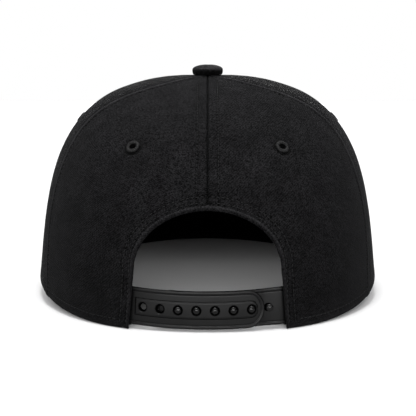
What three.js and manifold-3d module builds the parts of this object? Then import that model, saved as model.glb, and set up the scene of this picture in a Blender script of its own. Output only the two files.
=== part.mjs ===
// Snapback cap: six sewn panels with eyelets, a covered button, a cambered peak,
// a sweatband and a two-piece snap strap that closes the opening at the back.
// Millimetres. +X is the wearer's right, +Y points to the peak's front edge, +Z is up.

import * as THREE from 'three';
import { mergeVertices } from 'three/addons/utils/BufferGeometryUtils.js';
import { TessellateModifier } from 'three/addons/modifiers/TessellateModifier.js';
import Module from 'manifold-3d';

const wasm = await Module();
wasm.setup();

// Driving dimensions

const seamGap = 0.3;
const seatGap = 0.3;
const clothGap = 0.5;

const crown = {
  halfWidth: 89,
  backLength: 100.5,
  frontLength: 97.5,
  height: 112,
  wall: 1.6,
  squareness: 2.14,
  buttonForward: 2,
  sideLift: 7.8,
  levelHemAngle: 28,
};

const arch = {
  footHalfWidth: 36,
  springHalfWidth: 33.5,
  springHeight: 27,
  rise: 26.2,
};

const peak = {
  length: 69.5,
  thickness: 2.6,
  camber: 6.5,
  sideInset: 1,
  widestBack: 17.5,
  rearHalf: 83,
  squareness: 2.3,
  rootAngle: 119,
};

const sweatband = {
  height: 30,
  thickness: 1.2,
  hemSetback: 0.8,
  endOverlap: 1.5,
};

const strap = {
  bottom: 1.7,
  height: 17.4,
  thickness: 1.6,
  tab: 11,
  roundLength: 7.8,
  overTip: 27,
  underTip: -25.5,
  pitch: 8.6,
  sag: 1,
  middleHole: 3.4,
  holeRadius: 2.1,
  studHead: 1.7,
  studNeck: 1.25,
  studProud: 1.1,
};

const button = {
  radius: 8.1,
  height: 5.7,
  stemRadius: 2.2,
  plateRadius: 6,
  plateThickness: 0.8,
  plateDrop: 0.75,
};

const eyelet = {
  holeRadius: 1.25,
  barrelRadius: 2.2,
  radius: 4.1,
  proud: 0.9,
};

// Crown rows from hem to button. rise is a share of the height, and back, side and front
// are shares of the half lengths and half width. The seams run at these angles from the back.
const crownRows = [
  { rise: 0.0, back: 1.0, side: 1.0, front: 1.0, backSeam: 61.0, frontSeam: 119.0 },
  { rise: 0.1, back: 0.996, side: 0.991, front: 0.999, backSeam: 62.0, frontSeam: 119.5 },
  { rise: 0.22, back: 0.978, side: 0.978, front: 0.995, backSeam: 63.5, frontSeam: 120.0 },
  { rise: 0.36, back: 0.932, side: 0.956, front: 0.98, backSeam: 65.5, frontSeam: 121.0 },
  { rise: 0.5, back: 0.855, side: 0.921, front: 0.951, backSeam: 67.0, frontSeam: 122.0 },
  { rise: 0.63, back: 0.752, side: 0.868, front: 0.902, backSeam: 68.0, frontSeam: 123.0 },
  { rise: 0.75, back: 0.622, side: 0.79, front: 0.829, backSeam: 68.8, frontSeam: 124.0 },
  { rise: 0.85, back: 0.474, side: 0.687, front: 0.73, backSeam: 66.4, frontSeam: 125.0 },
  { rise: 0.925, back: 0.32, side: 0.556, front: 0.603, backSeam: 60.5, frontSeam: 126.0 },
  { rise: 0.975, back: 0.168, side: 0.381, front: 0.437, backSeam: 52.5, frontSeam: 127.0 },
  { rise: 0.995, back: 0.065, side: 0.22, front: 0.269, backSeam: 48.5, frontSeam: 128.0 },
];

// The last row is the round hole for the button's stem.
const stemHole = button.stemRadius + seatGap;
crownRows.push({
  rise: 1,
  back: stemHole / crown.backLength,
  side: stemHole / crown.halfWidth,
  front: stemHole / crown.frontLength,
  backSeam: 47,
  frontSeam: 128,
});

// One eyelet to a panel, at an angle from the back and a share of the crown's height.
const eyeletPlaces = [
  { panel: 'back', angle: 30.6, rise: 0.711 },
  { panel: 'side', angle: 97, rise: 0.78 },
  { panel: 'front', angle: 150, rise: 0.77 },
];

const rowSteps = 20;
const panelColumns = 9;
const bandColumns = 48;
const peakColumns = 24;
const peakRows = 5;
const roundSides = 12;
const strapStep = 9;

const black = {
  twill: new THREE.MeshStandardMaterial({ color: 0x1b1b1e, roughness: 0.92, metalness: 0 }),
  thread: new THREE.MeshStandardMaterial({ color: 0x232327, roughness: 0.7, metalness: 0 }),
  tape: new THREE.MeshStandardMaterial({ color: 0x161618, roughness: 0.9, metalness: 0 }),
  plastic: new THREE.MeshStandardMaterial({ color: 0x202022, roughness: 0.45, metalness: 0 }),
};

const radians = THREE.MathUtils.degToRad;
const cap = new THREE.Group();

// Curves of the crown

const rowCurve = Object.fromEntries(Object.keys(crownRows[0]).map((name) => [
  name,
  new THREE.SplineCurve(crownRows.map((row, index) => new THREE.Vector2(index, row[name]))),
]));

// A row at any place between the hem, 0, and the stem hole, 1.
function rowAt(place) {
  const row = {};
  for (const name of Object.keys(rowCurve)) row[name] = rowCurve[name].getPoint(place).y;
  return row;
}

// The place of the row at a share of the crown's height.
function placeOfRise(rise) {
  let low = 0;
  let high = 1;
  for (let turn = 0; turn < 30; turn += 1) {
    const middle = (low + high) / 2;
    if (rowCurve.rise.getPoint(middle).y < rise) low = middle;
    else high = middle;
  }
  return (low + high) / 2;
}

// Distance from the button's axis to the crown, at an angle from the back.
function crownRadius(row, angle) {
  const across = crown.halfWidth * row.side;
  const behind = Math.cos(angle) > 0;
  const along = behind ? crown.backLength * row.back : crown.frontLength * row.front;
  const power = crown.squareness;
  const sum = (Math.abs(Math.sin(angle)) / across) ** power + (Math.abs(Math.cos(angle)) / along) ** power;
  return sum ** (-1 / power);
}

const peakHalfWidth = crown.halfWidth - peak.sideInset;

// Height of the peak's underside, which touches the ground along its widest line.
function peakUnderside(x) {
  return peak.camber * (1 - (x / peakHalfWidth) ** 2);
}

// Height of the hem: level beside the opening, lifted at the sides, on the peak in front.
function hemHeight(angle) {
  const turn = Math.abs(angle);
  const onPeak = (at) => {
    const x = crownRadius(crownRows[0], at) * Math.sin(at);
    return peakUnderside(x) + peak.thickness + seatGap;
  };
  const rootAngle = radians(peak.rootAngle);
  if (turn >= rootAngle) return onPeak(turn);
  if (turn > Math.PI / 2) {
    const share = THREE.MathUtils.smoothstep(turn, Math.PI / 2, rootAngle);
    return THREE.MathUtils.lerp(crown.sideLift, onPeak(rootAngle), share);
  }
  const level = Math.sin(radians(crown.levelHemAngle)) ** 2;
  const share = Math.max(0, (Math.sin(turn) ** 2 - level) / (1 - level));
  return crown.sideLift * share ** 1.5;
}

// A point on the crown's outer face.
function crownPoint(place, angle) {
  const row = rowAt(place);
  const radius = crownRadius(row, angle);
  return new THREE.Vector3(
    radius * Math.sin(angle),
    crown.buttonForward * row.rise - radius * Math.cos(angle),
    THREE.MathUtils.lerp(hemHeight(angle), crown.height, row.rise),
  );
}

// The outward direction at a point of the crown, level along the hem.
function crownNormal(place, angle) {
  const turnStep = 0.01;
  const placeStep = 0.002;
  const low = Math.max(0, place - placeStep);
  const high = Math.min(1, place + placeStep);
  const around = crownPoint(place, angle + turnStep).sub(crownPoint(place, angle - turnStep));
  const upward = crownPoint(high, angle).sub(crownPoint(low, angle));
  const normal = around.cross(upward);
  if (place === 0) normal.z = 0;
  return normal.normalize();
}

// A point under the crown's outer face, at a depth along the inward direction.
function crownInside(place, angle, depth) {
  return crownPoint(place, angle).addScaledVector(crownNormal(place, angle), -depth);
}

// Closed bodies

// A closed body between two faces, each a grid of points given by row and column.
function layeredBody(rows, columns, outerPoint, innerPoint) {
  const positions = [];
  const faces = [];
  const width = columns + 1;
  const layer = (rows + 1) * width;
  for (const pointOf of [outerPoint, innerPoint]) {
    for (let row = 0; row <= rows; row += 1) {
      for (let column = 0; column <= columns; column += 1) positions.push(...pointOf(row, column).toArray());
    }
  }
  const quad = (a, b, c, d) => faces.push(a, b, c, a, c, d);
  for (let row = 0; row < rows; row += 1) {
    for (let column = 0; column < columns; column += 1) {
      const corner = row * width + column;
      quad(corner, corner + 1, corner + width + 1, corner + width);
      quad(layer + corner, layer + corner + width, layer + corner + width + 1, layer + corner + 1);
    }
  }
  const rim = [];
  for (let column = 0; column < columns; column += 1) rim.push(column);
  for (let row = 0; row < rows; row += 1) rim.push(row * width + columns);
  for (let column = columns; column > 0; column -= 1) rim.push(rows * width + column);
  for (let row = rows; row > 0; row -= 1) rim.push(row * width);
  rim.forEach((from, index) => {
    const to = rim[(index + 1) % rim.length];
    quad(to, from, layer + from, layer + to);
  });
  const body = new THREE.BufferGeometry();
  body.setAttribute('position', new THREE.Float32BufferAttribute(positions, 3));
  body.setIndex(faces);
  return facedOutward(body);
}

// The same body with one vertex at each corner and its faces turned outwards.
function facedOutward(geometry) {
  const bare = geometry.clone();
  bare.deleteAttribute('normal');
  bare.deleteAttribute('uv');
  const body = mergeVertices(bare, 1e-4);
  const corners = body.getAttribute('position');
  const index = body.getIndex().array;
  const [a, b, c] = [new THREE.Vector3(), new THREE.Vector3(), new THREE.Vector3()];
  const kept = [];
  let volume = 0;
  for (let start = 0; start < index.length; start += 3) {
    const face = [index[start], index[start + 1], index[start + 2]];
    if (new Set(face).size < 3) continue;
    a.fromBufferAttribute(corners, face[0]);
    b.fromBufferAttribute(corners, face[1]);
    c.fromBufferAttribute(corners, face[2]);
    volume += a.dot(b.cross(c));
    kept.push(face);
  }
  const turned = volume < 0 ? kept.map(([one, two, three]) => [one, three, two]) : kept;
  body.setIndex(turned.flat());
  return body;
}

function toSolid(geometry) {
  const body = facedOutward(geometry);
  return new wasm.Manifold(new wasm.Mesh({
    numProp: 3,
    vertProperties: new Float32Array(body.getAttribute('position').array),
    triVerts: new Uint32Array(body.getIndex().array),
  }));
}

function toGeometry(solid) {
  const mesh = solid.getMesh();
  const body = new THREE.BufferGeometry();
  body.setAttribute('position', new THREE.Float32BufferAttribute(mesh.vertProperties, 3));
  body.setIndex([...mesh.triVerts]);
  return body;
}

function mirrored(geometry) {
  return facedOutward(geometry.clone().scale(-1, 1, 1));
}

function addPiece(name, geometry, material) {
  const piece = new THREE.Mesh(geometry, material);
  piece.name = name;
  piece.geometry.computeVertexNormals();
  cap.add(piece);
}

// Each piece of the right side and its mirror image on the left.
function addPair(name, geometry, material) {
  addPiece(`${name}_right`, geometry, material);
  addPiece(`${name}_left`, mirrored(geometry), material);
}

// Panels

// The opening at the back, as a body that runs through the wall.
function archCutter() {
  const outline = new THREE.Shape();
  const below = -10;
  const splay = (arch.footHalfWidth - arch.springHalfWidth) / arch.springHeight;
  const lowHalfWidth = arch.footHalfWidth - splay * below;
  outline.moveTo(-lowHalfWidth, below);
  outline.lineTo(lowHalfWidth, below);
  outline.lineTo(arch.springHalfWidth, arch.springHeight);
  outline.absellipse(0, arch.springHeight, arch.springHalfWidth, arch.rise, 0, Math.PI, false, 0);
  outline.closePath();
  const reach = crown.backLength;
  const cutter = new THREE.ExtrudeGeometry(outline, { depth: reach, bevelEnabled: false, curveSegments: 14 });
  cutter.rotateX(Math.PI / 2);
  cutter.translate(0, -reach / 4, 0);
  return cutter;
}

// Stands a piece made on the Y axis upright on the crown's outer face.
function placedOnCrown(geometry, { angle, rise }) {
  const place = placeOfRise(rise);
  const normal = crownNormal(place, radians(angle));
  const turn = new THREE.Quaternion().setFromUnitVectors(new THREE.Vector3(0, 1, 0), normal);
  const seat = crownPoint(place, radians(angle));
  return geometry.clone().applyQuaternion(turn).translate(...seat.toArray());
}

function eyeletCutter(spot) {
  const radius = eyelet.barrelRadius + seatGap;
  const length = 6 * crown.wall;
  return placedOnCrown(new THREE.CylinderGeometry(radius, radius, length, roundSides), spot);
}

// One panel of the right side between two seams, with the wall turned inwards.
function panelBody(fromAngle, toAngle) {
  const angleOf = (row, column) => {
    const place = row / rowSteps;
    const shares = rowAt(place);
    const low = radians(fromAngle(shares));
    const high = radians(toAngle(shares));
    const lowMargin = seamGap / 2 / crownRadius(shares, low);
    const highMargin = seamGap / 2 / crownRadius(shares, high);
    return THREE.MathUtils.lerp(low + lowMargin, high - highMargin, column / panelColumns);
  };
  return layeredBody(
    rowSteps,
    panelColumns,
    (row, column) => crownPoint(row / rowSteps, angleOf(row, column)),
    (row, column) => crownInside(row / rowSteps, angleOf(row, column), crown.wall),
  );
}

const panelSeams = {
  back: [() => 0, (row) => row.backSeam],
  side: [(row) => row.backSeam, (row) => row.frontSeam],
  front: [(row) => row.frontSeam, () => 180],
};

for (const spot of eyeletPlaces) {
  let panel = toSolid(panelBody(...panelSeams[spot.panel]));
  panel = panel.subtract(toSolid(eyeletCutter(spot)));
  if (spot.panel === 'back') panel = panel.subtract(toSolid(archCutter()));
  addPair(`${spot.panel}_panel`, toGeometry(panel), black.twill);
}

// Eyelets, stitched rings that grip the panel from both sides

function eyeletBody() {
  const under = -crown.wall - clothGap;
  const profile = [
    [eyelet.holeRadius, under - 0.6],
    [eyelet.radius - 0.6, under - 0.6],
    [eyelet.radius - 0.4, under],
    [eyelet.barrelRadius, under],
    [eyelet.barrelRadius, seatGap],
    [eyelet.radius, seatGap],
    [eyelet.radius - 0.2, seatGap + 0.5 * eyelet.proud],
    [eyelet.radius - 1, seatGap + eyelet.proud],
    [eyelet.holeRadius + 0.6, seatGap + eyelet.proud],
    [eyelet.holeRadius, seatGap + 0.4 * eyelet.proud],
    [eyelet.holeRadius, under - 0.6],
  ].map(([radius, height]) => new THREE.Vector2(radius, height));
  return new THREE.LatheGeometry(profile, roundSides);
}

for (const spot of eyeletPlaces) {
  addPair(`eyelet_${spot.panel}`, facedOutward(placedOnCrown(eyeletBody(), spot)), black.thread);
}

// Button: covered head, stem through the crown and backing plate

function buttonBody() {
  const plateTop = -crown.wall - button.plateDrop;
  const plateBottom = plateTop - button.plateThickness;
  const top = button.height;
  const profile = [
    [0, plateBottom],
    [button.plateRadius, plateBottom],
    [button.plateRadius, plateTop],
    [button.stemRadius, plateTop],
    [button.stemRadius, seatGap],
    [0.89 * button.radius, seatGap],
    [0.98 * button.radius, 0.2 * top],
    [button.radius, 0.42 * top],
    [0.97 * button.radius, 0.66 * top],
    [0.86 * button.radius, 0.86 * top],
    [0.58 * button.radius, 0.97 * top],
    [0, top],
  ].map(([radius, height]) => new THREE.Vector2(radius, height));
  const body = new THREE.LatheGeometry(profile, roundSides + 8);
  body.rotateX(Math.PI / 2);
  body.translate(0, crown.buttonForward, crown.height);
  return facedOutward(body);
}

addPiece('button', buttonBody(), black.twill);

// Peak: from the inner face of the front hem to an oval front edge

function peakBody() {
  const rootAngle = radians(peak.rootAngle);
  const rootEnd = crownPoint(0, rootAngle);
  const middle = crown.frontLength - peak.widestBack;
  const frontHalf = crown.frontLength + peak.length - middle;
  const power = 2 / peak.squareness;
  const endAngle = Math.acos(-(((middle - rootEnd.y) / peak.rearHalf) ** (1 / power)));
  const edgePoint = (turn) => {
    const half = Math.cos(turn) > 0 ? frontHalf : peak.rearHalf;
    const x = peakHalfWidth * Math.sign(Math.sin(turn)) * Math.abs(Math.sin(turn)) ** power;
    const y = middle + half * Math.sign(Math.cos(turn)) * Math.abs(Math.cos(turn)) ** power;
    return new THREE.Vector3(x, y, 0);
  };
  const planPoint = (row, column) => {
    const share = 1 - (2 * column) / peakColumns;
    const root = crownInside(0, Math.PI - share * (Math.PI - rootAngle), crown.wall);
    return root.setZ(0).lerp(edgePoint(share * endAngle), row / peakRows);
  };
  return layeredBody(
    peakRows,
    peakColumns,
    (row, column) => {
      const point = planPoint(row, column);
      return point.setZ(peakUnderside(point.x) + peak.thickness);
    },
    (row, column) => {
      const point = planPoint(row, column);
      return point.setZ(peakUnderside(point.x));
    },
  );
}

addPiece('peak', peakBody(), black.twill);

// Snap straps, drawn flat along the hem and bent round the back

// Angle and distance along the hem, from the middle of the back.
const hemLength = (() => {
  const steps = 200;
  const last = Math.PI / 2;
  const table = [{ angle: 0, length: 0 }];
  for (let step = 1; step <= steps; step += 1) {
    const before = table[step - 1];
    const angle = (last * step) / steps;
    const reach = crownPoint(0, angle).setZ(0).distanceTo(crownPoint(0, before.angle).setZ(0));
    table.push({ angle, length: before.length + reach });
  }
  return table;
})();

function hemAngle(length) {
  const span = Math.abs(length);
  const after = Math.max(1, hemLength.findIndex((entry) => entry.length >= span));
  const [low, high] = [hemLength[after - 1], hemLength[after]];
  const share = (span - low.length) / (high.length - low.length);
  return Math.sign(length) * THREE.MathUtils.lerp(low.angle, high.angle, share);
}

function hemLengthAtWidth(x) {
  return hemLength.find((entry) => crownRadius(crownRows[0], entry.angle) * Math.sin(entry.angle) >= x).length;
}

const footLength = hemLengthAtWidth(arch.footHalfWidth);
const strapEnd = footLength + strap.tab;
const strapDepth = crown.wall + clothGap;
const underDepth = strapDepth + strap.thickness + seatGap;

// The under strap slips behind the over strap between its tip and the panel's edge.
function underStrapDepth(length) {
  const share = THREE.MathUtils.smoothstep(length, strap.overTip, footLength);
  return THREE.MathUtils.lerp(underDepth, strapDepth, share);
}

// A flat strap from its sewn end to a rounded tip, pointing to +X.
function flatStrap(start, tip, holes) {
  const half = strap.height / 2;
  const shoulder = tip - strap.roundLength;
  const outline = new THREE.Shape();
  outline.moveTo(start, -half);
  outline.lineTo(shoulder, -half);
  outline.absellipse(shoulder, 0, strap.roundLength, half, -Math.PI / 2, Math.PI / 2, false, 0);
  outline.lineTo(start, half);
  outline.closePath();
  for (const place of holes) {
    const hole = new THREE.Path();
    hole.absarc(place, 0, strap.holeRadius, 0, 2 * Math.PI, true);
    outline.holes.push(hole);
  }
  return new THREE.ExtrudeGeometry(outline, { depth: strap.thickness, bevelEnabled: false, curveSegments: 5 });
}

// A stud with a neck and a domed head, standing on the strap's outer face.
function stud(place) {
  const neckTop = strap.thickness + 2 * seatGap;
  const top = strap.thickness + seatGap + strap.studProud;
  const profile = [
    [0, -strap.thickness / 2],
    [strap.studNeck, -strap.thickness / 2],
    [strap.studNeck, neckTop],
    [strap.studHead, neckTop + 0.2],
    [0.85 * strap.studHead, top - 0.3],
    [0, top],
  ].map(([radius, height]) => new THREE.Vector2(radius, height));
  const body = new THREE.LatheGeometry(profile, 8);
  body.rotateX(Math.PI / 2);
  body.translate(place, 0, strap.thickness);
  return body;
}

// Bends a flat strap: X runs along the hem, Y up the wall and Z outwards from the inner face.
// It sags a little from its sewn end to the middle of the opening.
function bentStrap(geometry, depthAt, sign) {
  const cutter = new TessellateModifier(strapStep, 12);
  const fine = cutter.modify(geometry.toNonIndexed());
  const places = fine.getAttribute('position');
  for (let index = 0; index < places.count; index += 1) {
    const length = sign * places.getX(index);
    const angle = hemAngle(length);
    const rise = strap.sag * (length / footLength) ** 2;
    const height = strap.bottom + rise + strap.height / 2 + places.getY(index);
    const hem = hemHeight(angle);
    const place = placeOfRise((height - hem) / (crown.height - hem));
    const depth = depthAt(length) + strap.thickness - places.getZ(index);
    places.setXYZ(index, ...crownInside(place, angle, depth).toArray());
  }
  return facedOutward(fine);
}

const holePlaces = [-4, -3, -2, -1, 0, 1, 2].map((step) => strap.middleHole + step * strap.pitch);
const studPlaces = [-2, -1, 0, 1, 2, 3].map((step) => strap.middleHole + step * strap.pitch);

const overStrap = flatStrap(-strapEnd, strap.overTip, holePlaces);
addPiece('strap_with_holes', bentStrap(toGeometry(toSolid(overStrap)), () => strapDepth, 1), black.plastic);

let underStrap = toSolid(flatStrap(-strapEnd, -strap.underTip, []));
for (const place of studPlaces) underStrap = underStrap.add(toSolid(stud(-place)));
addPiece('strap_with_studs', bentStrap(toGeometry(underStrap), underStrapDepth, -1), black.plastic);

// Sweatband: inside the hem, over the straps' sewn ends, from one side of the opening to the other

function sweatbandBody() {
  const startLength = footLength + sweatband.endOverlap;
  const start = hemAngle(startLength);
  const rows = 3;
  const coverEnd = hemAngle(strapEnd + 2);
  const clearEnd = hemAngle(strapEnd + 16);
  const angleOf = (column) => {
    const turn = THREE.MathUtils.lerp(start, 2 * Math.PI - start, column / bandColumns);
    return turn > Math.PI ? turn - 2 * Math.PI : turn;
  };
  const depthOf = (angle) => {
    const clear = crown.wall + clothGap;
    const cover = clear + strap.thickness + clothGap;
    return THREE.MathUtils.lerp(cover, clear, THREE.MathUtils.smoothstep(Math.abs(angle), coverEnd, clearEnd));
  };
  const pointAt = (row, column, extra) => {
    const angle = angleOf(column);
    const hem = hemHeight(angle);
    const height = hem + sweatband.hemSetback + (sweatband.height * row) / rows;
    const place = placeOfRise((height - hem) / (crown.height - hem));
    return crownInside(place, angle, depthOf(angle) + extra).setZ(height);
  };
  return layeredBody(
    rows,
    bandColumns,
    (row, column) => pointAt(row, column, 0),
    (row, column) => pointAt(row, column, sweatband.thickness),
  );
}

addPiece('sweatband', sweatbandBody(), black.tape);

// The origin lies under the middle of the cap's length, on the surface that it rests on.
const extent = new THREE.Box3().setFromObject(cap);
cap.position.y = -(extent.min.y + extent.max.y) / 2;

export default cap;
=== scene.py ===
import math

import bpy
import numpy as np
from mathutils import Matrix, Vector


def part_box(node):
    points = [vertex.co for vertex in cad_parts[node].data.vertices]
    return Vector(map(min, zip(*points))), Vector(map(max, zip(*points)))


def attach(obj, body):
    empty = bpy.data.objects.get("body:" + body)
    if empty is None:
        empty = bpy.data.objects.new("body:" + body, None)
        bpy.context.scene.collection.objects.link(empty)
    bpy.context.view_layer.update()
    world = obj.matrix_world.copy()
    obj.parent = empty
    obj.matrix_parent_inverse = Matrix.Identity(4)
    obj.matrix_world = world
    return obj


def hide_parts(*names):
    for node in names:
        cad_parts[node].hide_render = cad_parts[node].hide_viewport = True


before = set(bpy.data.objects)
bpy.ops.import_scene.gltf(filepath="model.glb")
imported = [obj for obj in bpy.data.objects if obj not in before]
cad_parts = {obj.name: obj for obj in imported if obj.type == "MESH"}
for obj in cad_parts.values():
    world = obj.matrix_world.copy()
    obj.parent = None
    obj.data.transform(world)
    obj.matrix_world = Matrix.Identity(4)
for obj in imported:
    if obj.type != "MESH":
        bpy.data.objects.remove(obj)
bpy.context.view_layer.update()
rng = np.random.default_rng(11)

# Sizes in millimetres, the same as the frame's. +Z is up and the camera looks along +Y.

SEAT_GAP = 0.3
CLOTH_GAP = 0.5
HALF_WIDTH, BACK_LENGTH, FRONT_LENGTH, HEIGHT = 89.0, 100.5, 97.5, 112.0
WALL = 1.6
SQUARENESS = 2.14
BUTTON_FORWARD = 2.0
SIDE_LIFT = 7.8
LEVEL_HEM = math.radians(28)
ARCH_FOOT, ARCH_SPRING, ARCH_SPRING_HEIGHT, ARCH_RISE = 36.0, 33.5, 27.0, 26.2
PEAK_LENGTH, PEAK_THICKNESS, PEAK_CAMBER = 69.5, 2.6, 6.5
PEAK_HALF, PEAK_WIDEST_BACK, PEAK_REAR_HALF, PEAK_SQUARENESS = 88.0, 17.5, 83.0, 2.3
PEAK_ROOT = math.radians(119)
BAND_HEIGHT, BAND_THICKNESS, BAND_SETBACK, BAND_OVERLAP = 30.0, 1.2, 0.8, 1.5
STRAP_BOTTOM, STRAP_HEIGHT, STRAP_THICKNESS, STRAP_TAB = 1.0, 17.4, 1.6, 11.0
STRAP_ROUND, OVER_TIP, UNDER_TIP, STRAP_SAG = 7.8, 27.0, -25.5, 1.0
HOLE_PITCH, MIDDLE_HOLE, HOLE_RADIUS = 8.6, 3.4, 2.1
HOLE_THROAT = 1.45
STUD_HEAD, STUD_NECK, STUD_PROUD = 1.75, 1.25, 1.1
STUD_COLLAR, STUD_DOME, STUD_SIDES = 2.0, 1.35, 32
BUTTON_RADIUS, BUTTON_HEIGHT, STEM_RADIUS = 8.1, 5.7, 2.2
BUTTON_PLATE_RADIUS, BUTTON_PLATE_THICKNESS, BUTTON_PLATE_DROP = 6.0, 0.8, 0.75
EYELET_BARREL, EYELET_RADIUS = 2.2, 4.1
SEAM_ROW = 5.0
HEM_PRESS = 0.5
HEM_ROW = 4.0
STITCH_PITCH, STITCH_LENGTH, STITCH_WIDTH = 2.3, 1.75, 0.46

button_low, button_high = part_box("button")
SHIFT = (button_low.y + button_high.y) / 2 * 1000 - BUTTON_FORWARD

# The crown's rows from hem to button, as shares of the height and of the half lengths, and the
# angles from the back at which the seams run.
HOLE = STEM_RADIUS + SEAT_GAP
ROWS = {
    "rise": [0, 0.1, 0.22, 0.36, 0.5, 0.63, 0.75, 0.85, 0.925, 0.975, 0.995, 1],
    "back": [1, 0.996, 0.978, 0.932, 0.855, 0.752, 0.622, 0.474, 0.32, 0.168, 0.065, HOLE / BACK_LENGTH],
    "side": [1, 0.991, 0.978, 0.956, 0.921, 0.868, 0.79, 0.687, 0.556, 0.381, 0.22, HOLE / HALF_WIDTH],
    "front": [1, 0.999, 0.995, 0.98, 0.951, 0.902, 0.829, 0.73, 0.603, 0.437, 0.269, HOLE / FRONT_LENGTH],
    "back_seam": [61, 62, 63.5, 65.5, 67, 68, 68.8, 66.4, 60.5, 52.5, 48.5, 47],
    "front_seam": [119, 119.5, 120, 121, 122, 123, 124, 125, 126, 127, 128, 128],
}
EYELETS = {"back": (30.6, 0.711), "side": (97, 0.78), "front": (150, 0.77)}


def smooth(value, low, high):
    share = np.clip((value - low) / (high - low), 0, 1)
    return share * share * (3 - 2 * share)


def mix(a, b, share):
    return a + (b - a) * share


def bell(value, centre, width):
    return np.exp(-(((value - centre) / width) ** 2))


# Curves of the crown


def row_value(name, place):
    """A column of the rows at places from the hem, 0, to the stem hole, 1."""
    values = np.asarray(ROWS[name], float)
    last = len(values) - 1
    spot = np.clip(np.asarray(place, float), 0, 1) * last
    low = np.minimum(spot.astype(int), last)
    share = spot - low
    p0, p1 = values[np.maximum(low - 1, 0)], values[low]
    p2, p3 = values[np.minimum(low + 1, last)], values[np.minimum(low + 2, last)]
    v0, v1 = (p2 - p0) / 2, (p3 - p1) / 2
    cubic = (2 * p1 - 2 * p2 + v0 + v1) * share**3 + (3 * p2 - 3 * p1 - 2 * v0 - v1) * share**2
    return cubic + v0 * share + p1


PLACES = np.linspace(0, 1, 2001)
RISES = row_value("rise", PLACES)


def place_of_rise(rise):
    return np.interp(rise, RISES, PLACES)


def crown_radius(place, angle):
    across = HALF_WIDTH * row_value("side", place)
    behind = np.cos(angle) > 0
    along = np.where(behind, BACK_LENGTH * row_value("back", place), FRONT_LENGTH * row_value("front", place))
    total = (np.abs(np.sin(angle)) / across) ** SQUARENESS + (np.abs(np.cos(angle)) / along) ** SQUARENESS
    return total ** (-1 / SQUARENESS)


def peak_underside(x):
    return PEAK_CAMBER * (1 - (x / PEAK_HALF) ** 2)


def on_peak(angle):
    return peak_underside(crown_radius(0.0, angle) * np.sin(angle)) + PEAK_THICKNESS - HEM_PRESS


def hem_height(angle):
    turn = np.abs(np.asarray(angle, float))
    level = math.sin(LEVEL_HEM) ** 2
    rear = SIDE_LIFT * np.maximum(0, (np.sin(turn) ** 2 - level) / (1 - level)) ** 1.5
    side = mix(SIDE_LIFT, on_peak(PEAK_ROOT), smooth(turn, math.pi / 2, PEAK_ROOT))
    return np.where(turn >= PEAK_ROOT, on_peak(turn), np.where(turn > math.pi / 2, side, rear))


def crown_point(place, angle):
    place, angle = np.broadcast_arrays(np.asarray(place, float), np.asarray(angle, float))
    radius = crown_radius(place, angle)
    rise = row_value("rise", place)
    return np.stack([
        radius * np.sin(angle),
        BUTTON_FORWARD * rise - radius * np.cos(angle),
        mix(hem_height(angle), HEIGHT, rise),
    ], -1)


def crown_normal(place, angle):
    place, angle = np.broadcast_arrays(np.asarray(place, float), np.asarray(angle, float))
    around = crown_point(place, angle + 0.01) - crown_point(place, angle - 0.01)
    upward = crown_point(np.minimum(1, place + 0.002), angle) - crown_point(np.maximum(0, place - 0.002), angle)
    normal = np.cross(around, upward)
    normal[..., 2] = np.where(place <= 0, 0, normal[..., 2])
    return normal / np.linalg.norm(normal, axis=-1, keepdims=True)


def crown_at(place, angle, height):
    """A point at a height above the crown's outer face, negative inwards."""
    return crown_point(place, angle) + crown_normal(place, angle) * np.asarray(height, float)[..., None]


def place_of_height(angle, height):
    hem = hem_height(angle)
    return place_of_rise((height - hem) / (HEIGHT - hem))


def at_back(x, z):
    """The place and angle of the point of the crown's back that lies at x and z."""
    angle = x / BACK_LENGTH
    for _ in range(12):
        place = place_of_height(angle, z)
        angle = np.arcsin(np.clip(x / crown_radius(place, angle), -1, 1))
    return place_of_height(angle, z), angle


HEM_ANGLES = np.linspace(0, math.pi, 1801)
hem_line = crown_point(0.0, HEM_ANGLES)[:, :2]
HEM_LENGTHS = np.concatenate([[0], np.cumsum(np.linalg.norm(np.diff(hem_line, axis=0), axis=1))])


def hem_angle(length):
    return np.sign(length) * np.interp(np.abs(length), HEM_LENGTHS, HEM_ANGLES)


FOOT_LENGTH = float(np.interp(ARCH_FOOT, hem_line[:900, 0], HEM_LENGTHS[:900]))
STRAP_END = FOOT_LENGTH + STRAP_TAB
STRAP_DEPTH = WALL + CLOTH_GAP
UNDER_DEPTH = STRAP_DEPTH + STRAP_THICKNESS + SEAT_GAP

# Meshes


def face_grid(rows, columns, wrap_rows=False, wrap_columns=False):
    i, j = np.meshgrid(np.arange(rows - (not wrap_rows)), np.arange(columns - (not wrap_columns)), indexing="ij")
    up, right = (i + 1) % rows, (j + 1) % columns
    corners = [i * columns + j, i * columns + right, up * columns + right, up * columns + j]
    return np.stack(corners, -1).reshape(-1, 4)


def shell(outer, inner, keep=None):
    """Points and faces of a closed wall between two grids, without the cells that keep leaves out."""
    rows, columns = outer.shape[0] - 1, outer.shape[1] - 1
    keep = np.ones((rows, columns), bool) if keep is None else keep
    index = np.arange((rows + 1) * (columns + 1)).reshape(rows + 1, columns + 1)
    a, b, c, d = index[:-1, :-1], index[:-1, 1:], index[1:, 1:], index[1:, :-1]
    quads = np.stack([a, b, c, d], -1)[keep]
    faces = [quads, quads[:, ::-1] + index.size]
    around = np.pad(keep, 1)
    sides = (
        (around[:-2, 1:-1], a, b), (around[1:-1, 2:], b, c), (around[2:, 1:-1], c, d), (around[1:-1, :-2], d, a),
    )
    for neighbour, one, two in sides:
        edge = keep & ~neighbour
        faces.append(np.stack([two[edge], one[edge], one[edge] + index.size, two[edge] + index.size], -1))
    return np.concatenate([outer.reshape(-1, 3), inner.reshape(-1, 3)]), np.concatenate(faces)


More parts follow.
